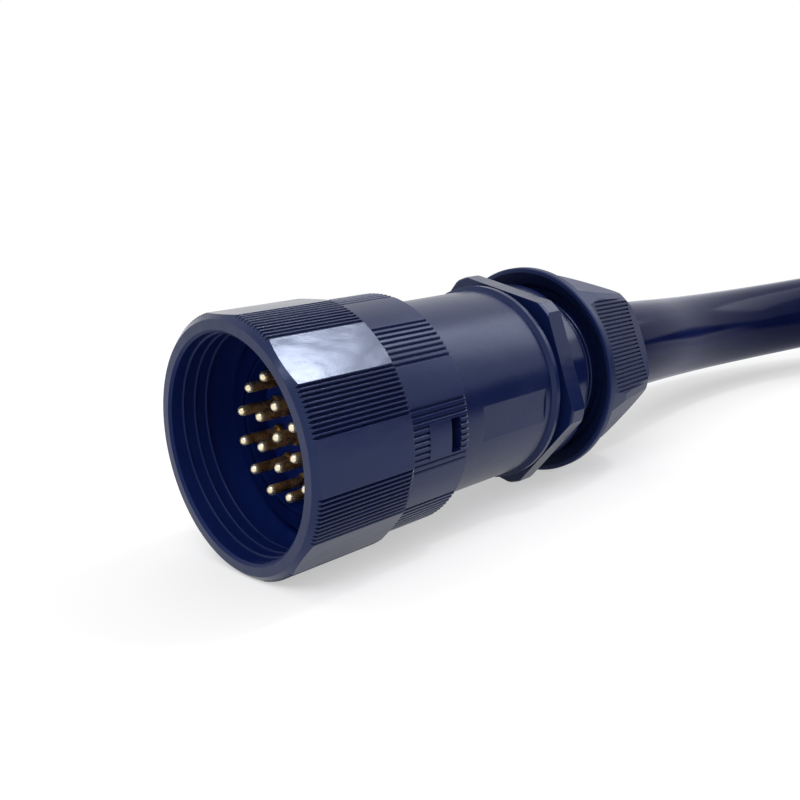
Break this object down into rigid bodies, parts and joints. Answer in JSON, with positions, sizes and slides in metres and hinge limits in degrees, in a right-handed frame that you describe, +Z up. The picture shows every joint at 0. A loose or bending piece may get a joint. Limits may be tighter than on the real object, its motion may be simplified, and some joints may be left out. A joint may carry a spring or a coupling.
{
  "type": "multipin extension cable",
  "caption": "Round multipin power plug with a ribbed coupling ring and gland nut on a thick black cable, coiled, with a matching threaded socket on its far end.",
  "frame": {"origin": "on the floor under the middle of the plug, half-way along its axis", "axes": "+X runs along the plug's axis from its open mating mouth towards the cable, +Z is up"},
  "size_m": [0.4618, 0.5068, 0.0588],
  "materials": {
    "housing_plastic": "satin",
    "insulator_plastic": "matte",
    "claw_plastic": "satin",
    "contact_gold": "polished",
    "spring_steel": "satin",
    "seal_rubber": "matte",
    "core_sheath": "satin",
    "cable_sheath": "satin",
    "tie_strap": "matte"
  },
  "bodies": {
    "plug_and_cable": {"ring_retainer": "spring_steel", "face_seal": "seal_rubber", "plug_shell": "housing_plastic", "pin_insert": "insulator_plastic", "pin_01": "contact_gold", "pin_02": "contact_gold", "pin_03": "contact_gold", "pin_04": "contact_gold", "pin_05": "contact_gold", "pin_06": "contact_gold", "pin_07": "contact_gold", "pin_08": "contact_gold", "pin_09": "contact_gold", "pin_10": "contact_gold", "pin_11": "contact_gold", "pin_12": "contact_gold", "pin_13": "contact_gold", "pin_14": "contact_gold", "pin_15": "contact_gold", "pin_16": "contact_gold", "pin_17": "contact_gold", "pin_18": "contact_gold", "pin_19": "contact_gold", "rear_insulator": "insulator_plastic", "core_wires": "core_sheath", "gland_gasket": "seal_rubber", "gland_body": "housing_plastic", "gland_seal": "seal_rubber", "clamp_claw": "claw_plastic", "cable_lead": "cable_sheath", "cable_coil": "cable_sheath", "cable_tail": "cable_sheath", "coil_tie_1": "tie_strap", "coil_tie_2": "tie_strap", "socket_shell": "housing_plastic", "socket_insert": "insulator_plastic", "socket_contacts": "contact_gold", "socket_rear_insulator": "insulator_plastic", "socket_core_wires": "core_sheath", "socket_gland_gasket": "seal_rubber", "socket_gland_body": "housing_plastic", "socket_gland_seal": "seal_rubber", "socket_clamp_claw": "claw_plastic"},
    "ring": {"coupling_ring": "housing_plastic"},
    "thrust_washer": {"slip_washer": "claw_plastic"},
    "nut": {"gland_nut": "housing_plastic"},
    "socket_thrust_washer": {"socket_slip_washer": "claw_plastic"},
    "socket_nut": {"socket_gland_nut": "housing_plastic"}
  },
  "joints": [
    {"name": "ring_turn", "type": "hinge", "parent": "plug_and_cable", "child": "ring", "pos_m": [-0.0493, 0, 0.02844], "axis": [1, 0, 0], "continuous": true},
    {"name": "nut_travel", "type": "slide", "parent": "plug_and_cable", "child": "thrust_washer", "axis": [1, 0, 0], "range_m": [0, 0.0045]},
    {"name": "nut_turn", "type": "hinge", "parent": "thrust_washer", "child": "nut", "pos_m": [0.0477, 0, 0.02844], "axis": [1, 0, 0], "range_deg": [0, 1080]},
    {"name": "socket_nut_travel", "type": "slide", "parent": "plug_and_cable", "child": "socket_thrust_washer", "axis": [1, 0, 0], "range_m": [0, 0.0045]},
    {"name": "socket_nut_turn", "type": "hinge", "parent": "socket_thrust_washer", "child": "socket_nut", "pos_m": [0.04435, -0.45, 0.02844], "axis": [1, 0, 0], "range_deg": [0, 1080]}
  ],
  "couplings": [
    {"joint": "nut_travel", "follows": "nut_turn", "m_per_rad": 0.00023873},
    {"joint": "socket_nut_travel", "follows": "socket_nut_turn", "m_per_rad": 0.00023873}
  ]
}
